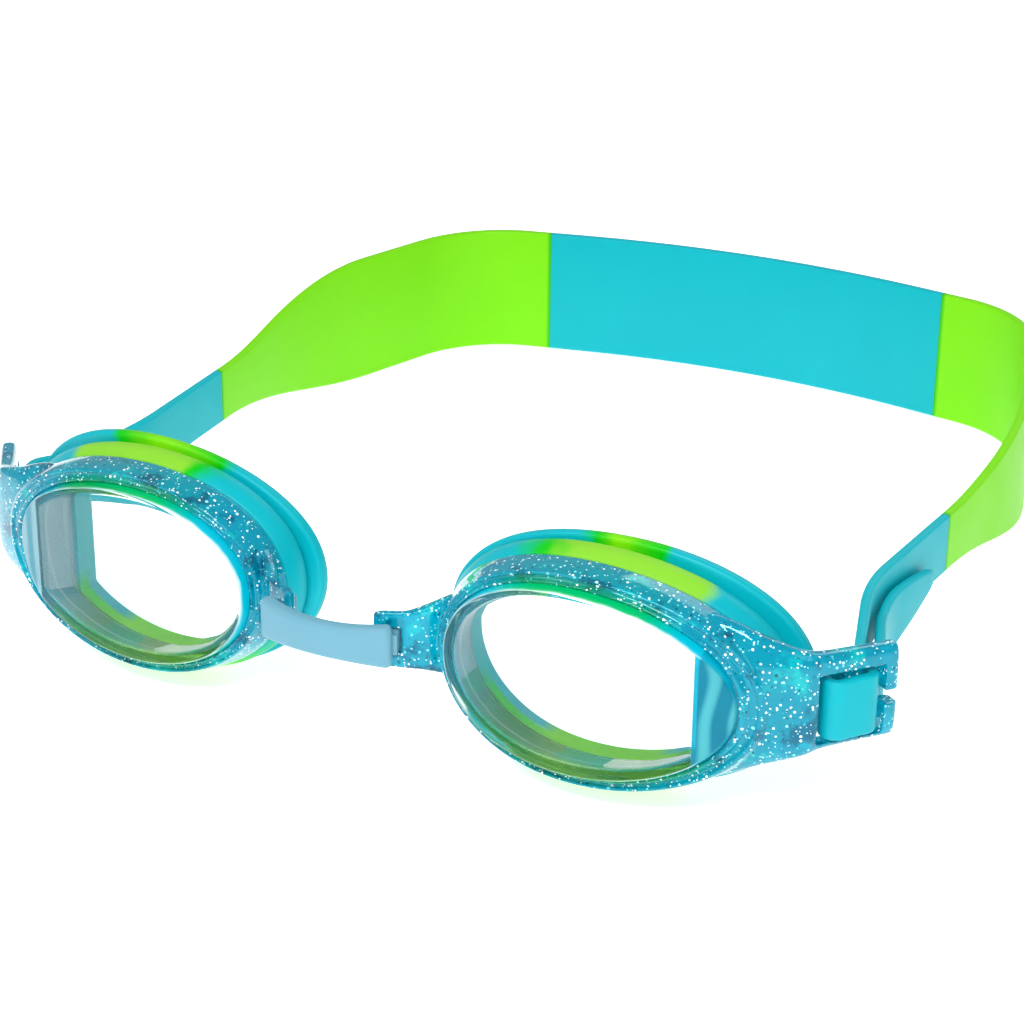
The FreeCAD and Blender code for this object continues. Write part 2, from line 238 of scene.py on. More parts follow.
def rounded_corners(corners, radii, steps=5):
    """Smooths each corner of a closed run of points with a short parabola."""
    points = []
    count = len(corners)
    for i, (corner, radius) in enumerate(zip(corners, radii)):
        before, after = corners[i - 1], corners[(i + 1) % count]
        start = corner.lerp(before, min(radius / max((corner - before).length, 1e-6), 0.5))
        end = corner.lerp(after, min(radius / max((corner - after).length, 1e-6), 0.5))
        for k in range(steps + 1):
            t = k / steps
            points.append(start.lerp(corner, t).lerp(corner.lerp(end, t), t))
    return points


# ---------------------------------------------------------------- cups

def soft_min(a, b, softness=0.4):
    """The smaller of two numbers, rounded over where they are about equal."""
    share = max(softness - abs(a - b), 0.0) / softness
    return min(a, b) - share * share * softness / 4


def cup_point(angle, half_width, half_height, shift, depth, limit=NO_LIMIT, temple_height=EGG_NARROWING):
    """Point on an egg outline, cut straight at limit, wrapped back and placed at the right-hand cup."""
    c, s = math.cos(angle), math.sin(angle)
    across = shift + half_width * math.copysign(abs(c) ** (2 / EGG_POWER), c)
    up = half_height * math.copysign(abs(s) ** (2 / EGG_POWER), s) * (1 + temple_height * c)
    across = soft_min(across, limit)
    back = depth + WRAP_RADIUS - math.sqrt(WRAP_RADIUS ** 2 - across ** 2)
    x = across * math.cos(CUP_SPLAY) - back * math.sin(CUP_SPLAY)
    y = across * math.sin(CUP_SPLAY) + back * math.cos(CUP_SPLAY)
    return CUP_CENTRE + Vector((x, y, up))


def turned(name, profile, radii):
    """Ring whose section has these corners of half width, half height, shift, depth and limit."""
    rows = []
    for k in range(AROUND):
        angle = 2 * math.pi * (k + 0.5) / AROUND
        rows.append(rounded_corners([cup_point(angle, *corner) for corner in profile], radii))
    return outward(grid(name, rows, closed=True))


def lens_outline(depth, inset=0.0):
    a, b, shift = mix_tuples(LENS_FACE, LENS_REAR, depth / LENS_DEPTH)
    return (a - inset, b - inset, shift, depth)


def egg_rows(outlines):
    angles = [2 * math.pi * (k + 0.5) / AROUND for k in range(AROUND)]
    return [[cup_point(angle, *outline) for angle in angles] for outline in outlines]


def egg_body(name, front, wall, rear_depth):
    """Closed body: a wrapped front, a wall through the outlines, and a wrapped rear."""
    end = wall[-1][:3]
    rear = [outline + (rear_depth,) for outline in pane_steps(end)]
    return outward(grid(name, egg_rows(front + wall + rear[::-1]), capped=True))


def temple_plane(distance):
    """Point and normal of the upright plane this far towards the temple of the right-hand cup."""
    normal = Vector((math.cos(CUP_SPLAY), math.sin(CUP_SPLAY), 0))
    return CUP_CENTRE + normal * distance, normal


def cut_at_crease(obj, keep_temple):
    """New edges along the crease's plane; without keep_temple, what lies beyond it goes."""
    point, normal = temple_plane(CREASE)
    bm = bmesh.new()
    bm.from_mesh(obj.data)
    everything = bm.verts[:] + bm.edges[:] + bm.faces[:]
    made = bmesh.ops.bisect_plane(
        bm, geom=everything, plane_co=point, plane_no=normal, clear_outer=not keep_temple)
    if not keep_temple:
        rim = [item for item in made["geom_cut"] if isinstance(item, bmesh.types.BMEdge)]
        bmesh.ops.contextual_create(bm, geom=rim)
        bmesh.ops.recalc_face_normals(bm, faces=bm.faces)
    bm.to_mesh(obj.data)
    bm.free()
    return obj


def fold_facet(obj):
    """Turns the pane back beyond its crease."""
    point, normal = temple_plane(CREASE)
    back = Vector((-normal.y, normal.x, 0))
    for vertex in obj.data.vertices:
        beyond = (vertex.co - point).dot(normal)
        depth = (vertex.co - CUP_CENTRE).dot(back)
        if beyond > 0:
            vertex.co += back * FACET_FALL * beyond * max(1 - depth / LENS_DEPTH, 0.0)
    return obj


def store_cup_place(obj):
    """Where each point lies in its cup, in mm: across, up, depth, and rim (1 on the lens's outline)."""
    normal = temple_plane(0)[1]
    back = Vector((-normal.y, normal.x, 0))
    across, up, depth, rim = [], [], [], []
    for vertex in obj.data.vertices:
        place = vertex.co - CUP_CENTRE
        u = place.dot(normal)
        wrap = WRAP_RADIUS - math.sqrt(max(WRAP_RADIUS ** 2 - min(abs(u), 40) ** 2, 0.0))
        d = place.dot(back) - wrap
        a, b, shift = lens_outline(min(max(d, 0.0), LENS_DEPTH))[:3]
        c = (u - shift) / a
        height = abs(place.z) / (b * (1 + EGG_NARROWING * max(min(c, 1), -1)))
        across.append(u)
        up.append(place.z)
        depth.append(d)
        rim.append((abs(c) ** EGG_POWER + height ** EGG_POWER) ** (1 / EGG_POWER))
    for name, values in (("across", across), ("up", up), ("depth", depth), ("rim", rim)):
        store(obj, name, values)
    return obj


def make_lens():
    """Deep clear cup: a wrapped pane with a facet at the temple, and a cavity that is flat there."""
    front_edge = lens_outline(0.0, LENS_EDGE)
    front = [outline + (0.0,) for outline in pane_steps(front_edge)]
    wall = [front_edge, lens_outline(0.05, 0.2), lens_outline(0.25, 0.02)]
    wall += [lens_outline(depth) for depth in (0.8, 3.0, 6.0, LENS_DEPTH)]
    outside = egg_body("lens_look_right", front, wall, LENS_DEPTH)
    body = fold_facet(cut_at_crease(outside, keep_temple=True))
    inner_edge = lens_outline(LENS_PANE, LENS_WALL + 0.7)
    inner_front = [outline + (LENS_PANE,) for outline in pane_steps(inner_edge)]
    inner_wall = [inner_edge, lens_outline(LENS_PANE + 0.1, LENS_WALL + 0.3)]
    inner_wall += [lens_outline(LENS_PANE + 0.4, LENS_WALL + 0.05)]
    inner_wall += [lens_outline(depth, LENS_WALL) for depth in (LENS_PANE + 1.0, 6.0, CAVITY_DEPTH)]
    inside = egg_body("cavity", inner_front, inner_wall, CAVITY_DEPTH)
    cavity = cut_at_crease(inside, keep_temple=False)
    return store_cup_place(cut_away(body, [cavity]))


def pane_steps(edge, steps=16):
    """Outlines from the middle of the pane to just inside its edge."""
    shares = [0.02] + [i / steps for i in range(1, steps)]
    return [(edge[0] * share, edge[1] * share, edge[2] * share) for share in shares]


def ring_point(share, depth):
    """Point of the frame's face, from the lens (0) to the frame's outline (1)."""
    inner = lens_outline(depth, -0.06)[:3]
    return mix_tuples(inner, FRAME_FACE, share) + (depth,)


def make_ring():
    """Moulded ring with its stepped lips round the lens."""
    face = ((0.0, 5.9), (0.0, 1.45), (0.22, 1.25), (0.32, 1.95))
    face += ((0.55, 2.15), (0.62, 1.55), (0.80, 1.75), (1.0, 3.2))
    corners = [ring_point(share, depth) for share, depth in face]
    corners += [mix_tuples(FRAME_FACE, FRAME_REAR, 0.55) + (4.6,)]
    corners += [(25.3, 16.15, 0.8, 6.3), (22.7, 14.7, 0.55, 6.35)]
    radii = [0.2, 0.18, 0.18, 0.3, 0.3, 0.3, 0.4, 0.9, 0.5, 0.3, 0.2]
    return turned("frame_look_right", corners, radii)


def loft_section(outer, inner, half_height, centre_height, squareness, around=40):
    """Upright rounded section between two plan points."""
    middle = (Vector(outer) + Vector(inner)) / 2
    half = (Vector(outer) - Vector(inner)) / 2
    ring = []
    for k in range(around):
        angle = 2 * math.pi * k / around
        c, s = math.cos(angle), math.sin(angle)
        along = math.copysign(abs(c) ** (2 / squareness), c)
        up = math.copysign(abs(s) ** (2 / squareness), s)
        plan = middle + half * along
        ring.append(Vector((plan.x, plan.y, centre_height + half_height * up)))
    return ring


def catmull(a, b, c, d, t):
    """Number at share t of the way from b to c, on an even curve through a, b, c and d."""
    bend = 2 * a - 5 * b + 4 * c - d
    twist = 3 * b - a - 3 * c + d
    return 0.5 * (2 * b + (c - a) * t + bend * t * t + twist * t ** 3)


def even_curve(points, steps):
    """Even curve through stations given as tuples of numbers."""
    out = []
    last = len(points) - 1
    for i in range(last):
        around = points[max(i - 1, 0)], points[i], points[i + 1], points[min(i + 2, last)]
        for k in range(steps):
            out.append(tuple(catmull(*numbers, k / steps) for numbers in zip(*around)))
    out.append(points[-1])
    return out


def at_frame(origin, angle, along, out):
    """Plan point given along a plate and out of its face."""
    x = origin.x + along * math.cos(angle) + out * math.sin(angle)
    y = origin.y + along * math.sin(angle) - out * math.cos(angle)
    return (x, y)


def at_buckle(along, out):
    return at_frame(BAR_CENTRE, PLATE_ANGLE, along, out)


def at_nose(along, out):
    return at_frame(NOSE_PIVOT, LUG_ANGLE, along, out)


def loft(name, stations, steps):
    """Body through stations of outer x, y, inner x, y, half height, middle height and squareness."""
    rows = []
    for x1, y1, x2, y2, half_height, middle, squareness in even_curve(stations, steps):
        rows.append(loft_section((x1, y1), (x2, y2), half_height, middle, squareness))
    return outward(grid(name, rows, capped=True))


def make_arm():
    """Fairing from the ring's temple side back to the buckle plate."""
    face = PLATE_HALF_THICK
    stations = [
        (50.0, 5.2, 50.5, 10.2, 11.4, -0.2, 2.3),
        (54.0, 5.3, 54.5, 11.0, 12.0, -0.2, 2.2),
        (58.0, 6.1, 58.0, 11.6, 11.0, 0.0, 2.2),
        (62.0, 7.2, 61.3, 12.0, 9.4, 0.2, 2.4),
        at_buckle(-7.6, face) + at_buckle(-7.2, -face - 0.4) + (7.7, 0.4, 3.0),
        at_buckle(-4.5, face) + at_buckle(-4.5, -face) + (6.95, 0.45, 4.0),
        at_buckle(0.0, face) + at_buckle(0.0, -face) + (6.8, 0.45, 4.0),
        at_buckle(4.5, face) + at_buckle(4.5, -face) + (6.75, 0.45, 4.0),
        at_buckle(6.1, face - 0.1) + at_buckle(6.1, -face + 0.1) + (6.7, 0.45, 4.0),
        at_buckle(6.6, face - 0.6) + at_buckle(6.6, -face + 0.6) + (6.2, 0.45, 4.0),
    ]
    return loft("arm", stations, 6)


def block(place, along, out, low, high):
    """Box in the plan frame given by place."""
    corners = [(along[0], out[0]), (along[1], out[0]), (along[1], out[1]), (along[0], out[1])]
    rows = [[Vector(place(*corner) + (height,)) for corner in corners] for height in (low, high)]
    return outward(grid("block", rows, capped=True))


def cut_buckle(arm):
    """Two slots with a lowered bar between them, and the gap between the prongs."""
    through = (-PLATE_HALF_THICK - 2, PLATE_HALF_THICK + 2)
    tools = [
        block(at_buckle, (-5.7, -BAR_HALF_WIDTH), through, SLOT_LOW, SLOT_HIGH),
        block(at_buckle, (BAR_HALF_WIDTH, 4.5), through, SLOT_LOW, SLOT_HIGH),
        block(at_buckle, (-1.6, 1.6), (0.7, 4.0), SLOT_LOW, SLOT_HIGH),
        block(at_buckle, (-1.6, 1.6), (-4.0, -1.0), SLOT_LOW, SLOT_HIGH),
        block(at_buckle, (4.3, 9.0), through, -1.3, 0.7),
    ]
    return cut_away(arm, tools)


def make_lug():
    """Plate at the nose side with its window for the stud."""
    half = LUG_HALF_THICK
    stations = [
        at_nose(-2.8, half * 0.5) + at_nose(-2.8, -half * 0.5) + (3.5, 0.0, 6.0),
        at_nose(-2.55, half) + at_nose(-2.55, -half) + (3.9, 0.0, 6.0),
        at_nose(-1.0, half) + at_nose(-1.0, -half) + (4.15, 0.0, 6.0),
        at_nose(1.9, half) + at_nose(1.7, -half) + (4.3, 0.0, 6.0),
        (13.3, 4.0, 12.8, 6.4, 4.9, 0.0, 6.0),
        (15.3, 6.0, 15.2, 8.6, 6.0, 0.0, 5.0),
        (17.0, 6.2, 17.0, 8.6, 6.6, 0.0, 5.0),
    ]
    lug = loft("lug", stations, 5)
    window = block(at_nose, (-1.9, 1.15), (-half - 1, half + 1), -1.9, 1.9)
    return cut_away(lug, [window])


def make_frame():
    """Ring, temple arm with buckle, and nose lug moulded as one, with soft fillets."""
    frame_body = joined([make_ring(), cut_buckle(make_arm()), make_lug()])
    fuse = frame_body.modifiers.new("fuse", "REMESH")
    fuse.mode = "VOXEL"
    fuse.voxel_size = FRAME_VOXEL
    fuse.use_smooth_shade = True
    relax = frame_body.modifiers.new("relax", "SMOOTH")
    relax.factor = 0.5
    relax.iterations = 2
    bpy.context.view_layer.update()
    apply_modifiers(frame_body)
    cut_away(frame_body, [lens_plug_tool()])
    return store_cup_place(smooth(frame_body, 50.0))


def lens_plug_tool():
    """Body a little larger than the lens, which keeps the frame's bore clean."""
    outlines = [lens_outline(depth, -0.05) for depth in (-3.0, 2.0, 5.0, LENS_DEPTH, 12.0)]
    return outward(grid("plug", egg_rows(outlines), capped=True))


# Section of the seal, from its seat behind the frame, out over both tiers and back inside.
# Each corner is half width, half height, shift, depth, limit and how the temple side narrows.
TIER_NARROWING, GROOVE_NARROWING, FLANGE_NARROWING = -0.06, -0.04, 0.01
SEAL_PROFILE = [
    (22.65, 14.65, 0.5, 6.5),
    (25.3, 16.1, 0.8, 6.5),
    (26.15, 17.15, 0.8, 8.2, NO_LIMIT, TIER_NARROWING),
    (26.0, 17.1, 0.8, 10.2, NO_LIMIT, TIER_NARROWING),
    (24.4, 15.4, 0.6, 10.3, NO_LIMIT, GROOVE_NARROWING),
    (24.6, 15.5, 0.6, 11.2, NO_LIMIT, GROOVE_NARROWING),
    (27.6, 17.9, 0.8, 11.1, NO_LIMIT, FLANGE_NARROWING),
    (27.6, 17.9, 0.8, 13.2, NO_LIMIT, FLANGE_NARROWING),
    (24.2, 15.6, 0.5, 13.2, EYE_LIMIT + 2.4),
    (21.45, 13.75, 0.25, 12.7, EYE_LIMIT),
    (21.7, 13.95, 0.4, 8.75, EYE_LIMIT),
    (22.9, 14.9, 0.6, 8.75),
]
SEAL_RADII = [0.1, 0.3, 1.0, 0.5, 0.3, 0.3, 0.8, 1.0, 1.2, 0.6, 0.1, 0.1]


def make_seal():
    """Soft seal in two tiers: one behind the frame, and the flange that meets the face."""
    return store_cup_place(turned("seal_look_right", SEAL_PROFILE, SEAL_RADII))


# ---------------------------------------------------------------- nose bridge

def rounded_box_ring(half_thick, half_height, radius, corner_steps=5):
    """Section as side and height offsets, with rounded corners."""
    ring = []
    for side, up, start in ((1, 1, 0), (-1, 1, 1), (-1, -1, 2), (1, -1, 3)):
        for k in range(corner_steps + 1):
            angle = (start + k / corner_steps) * math.pi / 2
            across = side * (half_thick - radius) + radius * math.cos(angle)
            ring.append((across, up * (half_height - radius) + radius * math.sin(angle)))
    return ring


def bridge_section(share):
    """Side and height offsets of the band's section, at this share of its half span."""
    half_height = BRIDGE_MID_HALF_HEIGHT + share ** 2 * (BRIDGE_END_HALF_HEIGHT - BRIDGE_MID_HALF_HEIGHT)
    from_end = (1 - abs(share)) * BRIDGE_HALF_SPAN
    blunt = BRIDGE_END_RADIUS
    tuck = blunt - math.sqrt(max(blunt ** 2 - max(blunt - from_end, 0) ** 2, 0.0))
    half_thick = BRIDGE_THICK / 2 - tuck * 0.9
    radius = min(BRIDGE_EDGE_RADIUS, half_thick * 0.95)
    return rounded_box_ring(half_thick, half_height - tuck, radius)


def make_bridge():
    """Arched band, deeper and blunt at its ends, with a stud and head behind each end."""
    radius = (BRIDGE_HALF_SPAN ** 2 + BRIDGE_RISE ** 2) / (2 * BRIDGE_RISE)
    reach = math.asin(BRIDGE_HALF_SPAN / radius)
    rows = []
    for i in range(BRIDGE_STEPS + 1):
        share = -1 + 2 * i / BRIDGE_STEPS
        share = math.copysign(1 - (1 - abs(share)) ** CROWDING, share)
        angle = share * reach
        row = []
        for across, up in bridge_section(share):
            distance = radius + across
            x = distance * math.sin(angle)
            y = radius - BRIDGE_RISE - distance * math.cos(angle)
            row.append(Vector((x, y, up)))
        rows.append(row)
    band = outward(grid("bridge_look", rows, capped=True))
    studs = []
    for side in (1, -1):
        studs += [make_stud(side, (2.4, -1.9), 0.8, 1.5), make_stud(side, (-1.0, -1.9), 1.4, 2.4)]
    return joined([band] + studs)


def make_stud(side, out, half_width, half_height):
    """Rounded block along the stud's axis."""
    rows = []
    for distance, shrink in ((out[0], 0.2), (out[0] - 0.2, 0.0), (out[1] + 0.2, 0.0), (out[1], 0.2)):
        row = []
        for along, up in rounded_box_ring(half_width - shrink, half_height - shrink, 0.3, 3):
            x, y = at_nose(along, distance)
            row.append(Vector((side * x, y, up)))
        rows.append(row)
    return outward(grid("stud", rows, capped=True))


# ---------------------------------------------------------------- strap

# Plan of the band's middle line on the right, from the middle of the back, and of the tail outside it
BACK_MIDDLE = (0.0, 147.3)
REAR_CORNER = (56.0, 136.6)
SIDE_CORNER = (68.8, 98.0)
WAIST_CORNER = (64.0, 41.0)
BUCKLE_CORNER = (70.0, 22.0)
BACK_RADIUS = 180.0
TAIL_CORNER = (72.2, 24.6)
TAIL_WAIST = (66.0, 41.5)
TAIL_END = (67.6, 60.0)
OVER_BAR = 1.7        # the band's middle line over the bar, out of the plate's middle
IN_SLOT = 2.95
LOOP_FRONT = 4.3      # the slack loop bulges forward where it comes out
TIP_CURL = 1.6        # length over which the tail's tip rounds off
TURN_LENGTH = 2.0     # the band's height gives way to the tail's, this far each side of the bar


def right_plan():
    """Corners and radii of the band from the middle of the back to the tail's tip."""
    corners = [BACK_MIDDLE, REAR_CORNER, SIDE_CORNER, WAIST_CORNER, BUCKLE_CORNER]
    corners += [at_buckle(-IN_SLOT, -2.6), at_buckle(-LOOP_FRONT, OVER_BAR)]
    corners += [at_buckle(IN_SLOT, OVER_BAR), at_buckle(IN_SLOT, -2.4), TAIL_CORNER, TAIL_WAIST]
    tip_share = (TAIL_TIP_Y - TAIL_WAIST[1]) / (TAIL_END[1] - TAIL_WAIST[1])
    tip = Vector(TAIL_WAIST).lerp(Vector(TAIL_END), tip_share)
    radii = [0, 21.0, 70.0, 30.0, 7.0, 2.0, 1.4, 1.4, 2.0, 3.0, 26.0, 0]
    return corners + [tuple(tip)], radii


def fillet_path(corners, radii, step):
    """Points along straight runs joined by tangent arcs, no further apart than step."""
    points = [Vector(corners[0])]
    for i in range(1, len(corners) - 1):
        corner = Vector(corners[i])
        back = (Vector(corners[i - 1]) - corner).normalized()
        on = (Vector(corners[i + 1]) - corner).normalized()
        opening = back.angle(on)
        setback = radii[i] / math.tan(opening / 2)
        centre = corner + (back + on).normalized() * (radii[i] / math.sin(opening / 2))
        start, end = corner + back * setback, corner + on * setback
        add_run(points, start, step)
        sweep = (start - centre).angle_signed(end - centre)
        pieces = max(3, math.ceil(abs(sweep) * radii[i] / step))
        for k in range(1, pieces + 1):
            turned_by = Matrix.Rotation(-sweep * k / pieces, 2)
            points.append(centre + turned_by @ (start - centre))
    add_run(points, Vector(corners[-1]), step)
    return points


def add_run(points, end, step):
    start = points[-1]
    length = (end - start).length
    if length < 1e-6:
        return
    pieces = max(1, math.ceil(length / step))
    for k in range(1, pieces + 1):
        points.append(start.lerp(end, k / pieces))


def split_at(points, axis, value):
    """Cuts a path where one coordinate first passes this value; both parts get the new point."""
    for i in range(1, len(points)):
        a, b = points[i - 1][axis], points[i][axis]
        if (a - value) * (b - value) <= 0 and a != b:
            seam = points[i - 1].lerp(points[i], (value - a) / (b - a))
            return points[:i] + [seam], [seam] + points[i:]
    raise ValueError("the path doesn't pass there")


def band_half_height(y):
    half_height = LOOP_HALF_HEIGHT
    half_height += smoothstep(y, LOOP_END_Y, FULL_END_Y) * (END_HALF_HEIGHT - LOOP_HALF_HEIGHT)
    half_height += smoothstep(y, WIDEN_START_Y, WIDEN_END_Y) * (BACK_HALF_HEIGHT - END_HALF_HEIGHT)
    return half_height


def band_middle(y):
    drop = LOOP_DROP * (1 - smoothstep(y, LOOP_END_Y, FULL_END_Y))
    return math.tan(STRAP_SLOPE) * (y - BAR_CENTRE.y) - drop


def tail_half_height(y):
    share = min(max((y - TAIL_TAPER_Y) / (TAIL_TIP_Y - TAIL_TAPER_Y), 0), 1)
    return LOOP_HALF_HEIGHT - share ** 1.6 * (LOOP_HALF_HEIGHT - TAIL_TIP_HALF_HEIGHT)


def tail_middle(y):
    drop = LOOP_DROP + TAIL_DROOP * smoothstep(y, LOOP_END_Y, TAIL_LOW_Y)
    return math.tan(TAIL_RISE) * max(y - TAIL_LOW_Y, 0.0) - drop


def path_lengths(points):
    lengths = [0.0]
    for a, b in zip(points, points[1:]):
        lengths.append(lengths[-1] + (b - a).length)
    return lengths


def ribbon(name, points, sizes, free_tip=False):
    """Band with rounded edges along a plan path. sizes has each point's half height and middle height."""
    lengths = path_lengths(points)
    rows, from_seam = [], []
    last = len(points) - 1
    for i, point in enumerate(points):
        before, after = points[max(i - 1, 0)], points[min(i + 1, last)]
        direction = (after - before).normalized()
        side = Vector((-direction.y, direction.x))
        half_height, middle = sizes[i]
        half_thick = STRAP_THICK / 2
        to_tip = lengths[-1] - lengths[i]
        if free_tip and to_tip < TIP_CURL:
            curl = 1 - math.sqrt(max(1 - (1 - to_tip / TIP_CURL) ** 2, 0.0))
            half_height -= 0.8 * curl
            half_thick -= 0.55 * curl
        radius = min(STRAP_EDGE_RADIUS, half_thick * 0.9)
        row = []
        for offset, up in rounded_box_ring(half_thick, half_height, radius):
            plan = point + side * offset
            row.append(Vector((plan.x, plan.y, middle + up)))
        rows.append(row)
        from_seam += [lengths[i] if free_tip else min(lengths[i], to_tip)] * len(row)
    band = grid(name, rows, capped=True)
    store(band, "seam", from_seam)
    return outward(band)


def band_sizes(points):
    return [(band_half_height(point.y), band_middle(point.y)) for point in points]


def strap_pieces():
    """Back panel, right side and right end with its loop round the bar and its tail."""
    corners, radii = right_plan()
    left_rear = (-REAR_CORNER[0], REAR_CORNER[1])
    whole = fillet_path([left_rear] + corners, [0.0, BACK_RADIUS] + radii[1:], PATH_STEP)
    from_left = split_at(whole, 0, -BACK_SEAM_X)[1]
    back, rest = split_at(from_left, 0, BACK_SEAM_X)
    side, end = split_at(rest, 1, END_SEAM_Y)
    lengths = path_lengths(end)
    over_bar = Vector(at_buckle(0, OVER_BAR))
    turn_at = lengths[min(range(len(end)), key=lambda i: (end[i] - over_bar).length)]
    end_sizes = []
    for point, length in zip(end, lengths):
        share = smoothstep(length, turn_at - TURN_LENGTH, turn_at + TURN_LENGTH)
        band = (band_half_height(point.y), band_middle(point.y))
        tail = (tail_half_height(point.y), tail_middle(point.y))
        end_sizes.append(mix_tuples(band, tail, share))
    return (
        ribbon("strap_look_back", back, band_sizes(back)),
        ribbon("strap_look_side_right", side, band_sizes(side)),
        ribbon("strap_look_end_right", end, end_sizes, free_tip=True),
    )


# ---------------------------------------------------------------- materials

def material(name):
    """New material with its Principled shader; returns it with its nodes and links."""
    made = bpy.data.materials.new(name)
    made.use_nodes = True
    nodes, links = made.node_tree.nodes, made.node_tree.links
    shader = nodes["Principled BSDF"]
    return made, nodes, links, shader


def texture(nodes, links, kind, scale, **inputs):
    """Texture on the piece's own coordinates, in metres; scale is features per metre."""
    made = nodes.new(kind)
    made.inputs["Scale"].default_value = scale
    for key, value in inputs.items():
        made.inputs[key].default_value = value
    place = nodes.get("Texture Coordinate") or nodes.new("ShaderNodeTexCoord")
    links.new(place.outputs["Object"], made.inputs["Vector"])
    return made


def ramp(nodes, links, source, stops):
    """Smooth colour ramp from a value; stops are position and colour."""
    made = nodes.new("ShaderNodeValToRGB")
    made.color_ramp.interpolation = "EASE"
    elements = made.color_ramp.elements
    while len(elements) < len(stops):
        elements.new(0.5)
    for element, (position, colour) in zip(elements, stops):
        element.position = position
        element.color = (*colour, 1.0)
    links.new(source, made.inputs["Fac"])
    return made.outputs["Color"]


def maths(nodes, links, operation, first, second=None, third=None):
    made = nodes.new("ShaderNodeMath")
    made.operation = operation
    for socket, value in zip(made.inputs, (first, second, third)):
        if value is None:
            continue
        if isinstance(value, (int, float)):
            socket.default_value = value
        else:
            links.new(value, socket)
    return made.outputs[0]


def blend_colours(nodes, links, share, first, second):
    made = nodes.new("ShaderNodeMix")
    made.data_type = "RGBA"
    links.new(share, made.inputs["Factor"])
    for key, value in (("A", first), ("B", second)):
        if isinstance(value, tuple):
            made.inputs[key].default_value = (*value, 1.0)
        else:
            links.new(value, made.inputs[key])
    return made.outputs["Result"]


def map_range(nodes, links, value, low, high, to_low, to_high):
    made = nodes.new("ShaderNodeMapRange")
    links.new(value, made.inputs["Value"])
    for key, number in (("From Min", low), ("From Max", high), ("To Min", to_low), ("To Max", to_high)):
        made.inputs[key].default_value = number
    return made.outputs["Result"]


def attribute(nodes, name):
    made = nodes.new("ShaderNodeAttribute")
    made.attribute_name = name
    return made.outputs["Fac"]


def bump(nodes, links, shader, height, strength, distance):
    made = nodes.new("ShaderNodeBump")
    made.inputs["Strength"].default_value = strength
    made.inputs["Distance"].default_value = distance
    links.new(height, made.inputs["Height"])
    links.new(made.outputs["Normal"], shader.inputs["Normal"])


TEAL = (0.0, 0.39, 0.46)
TEAL_DEEP = (0.0, 0.32, 0.41)
LIME = (0.18, 0.62, 0.003)
LIME_PALE = (0.22, 0.57, 0.03)
GREEN = (0.0, 0.48, 0.003)
GREY_BLUE = (0.14, 0.34, 0.44)
FRAME_DEEP = (0.0, 0.15, 0.27)
FRAME_TEAL = (0.0, 0.40, 0.56)
FRAME_BRIGHT = (0.0, 0.70, 0.72)
# Painted light: the next two colours stand for the lime seal seen through the frame and the lens wall, the
# third for rings of highlight in the lens wall.
PAINTED_SEE_THROUGH_GREEN = (0.0, 0.40, 0.09)
PAINTED_SEE_THROUGH_LIME = (0.22, 0.60, 0.08)
PAINTED_RING_HIGHLIGHT = (0.55, 0.80, 0.80)
CLEAR = (0.975, 0.99, 0.99)
BLACK, WHITE = (0, 0, 0), (1, 1, 1)


def silicone(name, colour, shade, seam_colour=None):
    """Moulded silicone: satin, faintly mottled, with a fine matt grain and a faint painted glow."""
    made, nodes, links, shader = material(name)
    mottle = texture(nodes, links, "ShaderNodeTexNoise", 90.0, Detail=3.0, Roughness=0.6)
    share = map_range(nodes, links, mottle.outputs["Fac"], 0.35, 0.7, 0.0, 0.2)
    base = blend_colours(nodes, links, share, colour, shade)
    if seam_colour:
        near = map_range(nodes, links, attribute(nodes, "seam"), 0.25, 0.9, 1.0, 0.0)
        base = blend_colours(nodes, links, near, base, seam_colour)
    links.new(base, shader.inputs["Base Color"])
    matt = map_range(nodes, links, mottle.outputs["Fac"], 0.3, 0.7, 0.36, 0.48)
    links.new(matt, shader.inputs["Roughness"])
    soft_skin_and_painted_glow(nodes, links, shader)
    return made


def turn_round_cup(nodes, links, wobble=None):
    """0 and 1 at the nose, 0.25 at the bottom, 0.5 at the temple, 0.75 at the top."""
    height = maths(nodes, links, "MULTIPLY", attribute(nodes, "up"), 1.55)
    angle = maths(nodes, links, "ARCTAN2", height, attribute(nodes, "across"))
    turn = maths(nodes, links, "MULTIPLY_ADD", angle, 1 / (2 * math.pi), 0.5)
    return maths(nodes, links, "ADD", turn, wobble) if wobble else turn


def seal_material(name, tier_top, flange_top):
    """Two-colour seal: lime runs into the teal at the top and the bottom of the cup."""
    made, nodes, links, shader = material(name)
    noise = texture(nodes, links, "ShaderNodeTexNoise", 120.0, Detail=2.0)
    wobble = map_range(nodes, links, noise.outputs["Fac"], 0.3, 0.7, -0.015, 0.015)
    turn = turn_round_cup(nodes, links, wobble)
    bottom = [
        (0.0, TEAL), (0.05, TEAL), (0.14, GREEN), (0.20, LIME), (0.30, LIME), (0.37, GREEN), (0.42, TEAL),
    ]
    low, high = tier_top
    tier = ramp(nodes, links, turn, bottom + [
        (low - 0.022, TEAL), (low, LIME_PALE),
        (high, LIME_PALE), (high + 0.02, GREEN), (high + 0.06, TEAL),
    ])
    low, high = flange_top
    flange = ramp(nodes, links, turn, [
        (0.0, TEAL), (0.16, TEAL), (0.20, LIME), (0.30, LIME), (0.34, TEAL),
        (low - 0.015, TEAL), (low, GREEN), ((low + high) / 2, LIME),
        (high - 0.015, GREEN), (high, TEAL),
    ])
    on_flange = map_range(nodes, links, attribute(nodes, "depth"), 10.5, 10.8, 0.0, 1.0)
    links.new(blend_colours(nodes, links, on_flange, tier, flange), shader.inputs["Base Color"])
    links.new(map_range(nodes, links, noise.outputs["Fac"], 0.3, 0.7, 0.34, 0.46), shader.inputs["Roughness"])
    soft_skin_and_painted_glow(nodes, links, shader)
    return made


